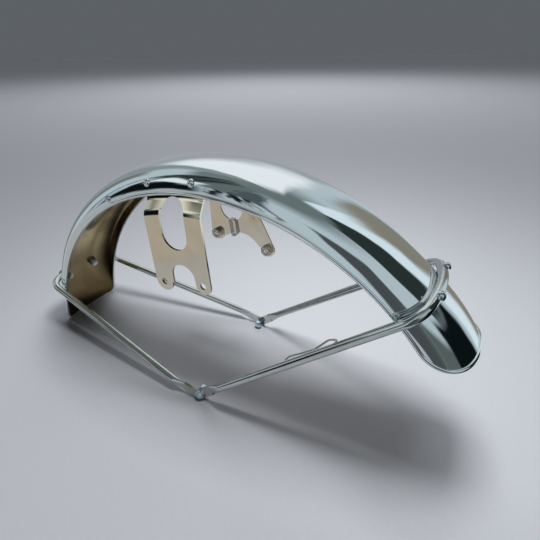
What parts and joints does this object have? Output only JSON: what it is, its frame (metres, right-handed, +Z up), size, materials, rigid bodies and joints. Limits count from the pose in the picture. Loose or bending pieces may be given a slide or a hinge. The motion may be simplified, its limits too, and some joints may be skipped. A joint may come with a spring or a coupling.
{
  "type": "motorcycle front mudguard",
  "caption": "Chromed front mudguard: an arched blade with a wired rim, slotted fork plates riveted inside its walls, and bent tube stays that meet in screwed eyes beside the wheel.",
  "frame": {"origin": "under the middle of the part's box, on the floor that it rests on", "axes": "+X towards the front of the vehicle, +Y to its left, +Z up"},
  "size_m": [0.6231, 0.1838, 0.299],
  "materials": {
    "blade_chrome": "polished chrome plate",
    "stay_chrome": "polished chrome plate",
    "rivet_chrome": "polished chrome plate",
    "screw_chrome": "bright plated",
    "plate_steel": "satin plated sheet",
    "nut_steel": "dull zinc plate",
    "wire_steel": "bright plated"
  },
  "bodies": {
    "root": {"mudguard_blade": "blade_chrome", "right_fork_plate": "plate_steel", "left_fork_plate": "plate_steel", "front_stay": "stay_chrome", "rear_stay": "stay_chrome", "cable_guide": "wire_steel", "plate_cable_strap": "wire_steel", "right_plate_rivets": "rivet_chrome", "left_plate_rivets": "rivet_chrome", "left_plate_weld_nuts": "nut_steel", "front_stay_bolts": "screw_chrome", "front_stay_washers": "nut_steel", "front_stay_nuts": "nut_steel", "rear_stay_bolts": "screw_chrome", "rear_stay_washers": "nut_steel", "rear_stay_nuts": "nut_steel", "right_junction_screw": "screw_chrome", "left_junction_screw": "screw_chrome", "junction_nuts": "nut_steel", "side_screw": "screw_chrome", "side_screw_washer": "nut_steel", "side_screw_nut": "nut_steel"}
  },
  "joints": []
}
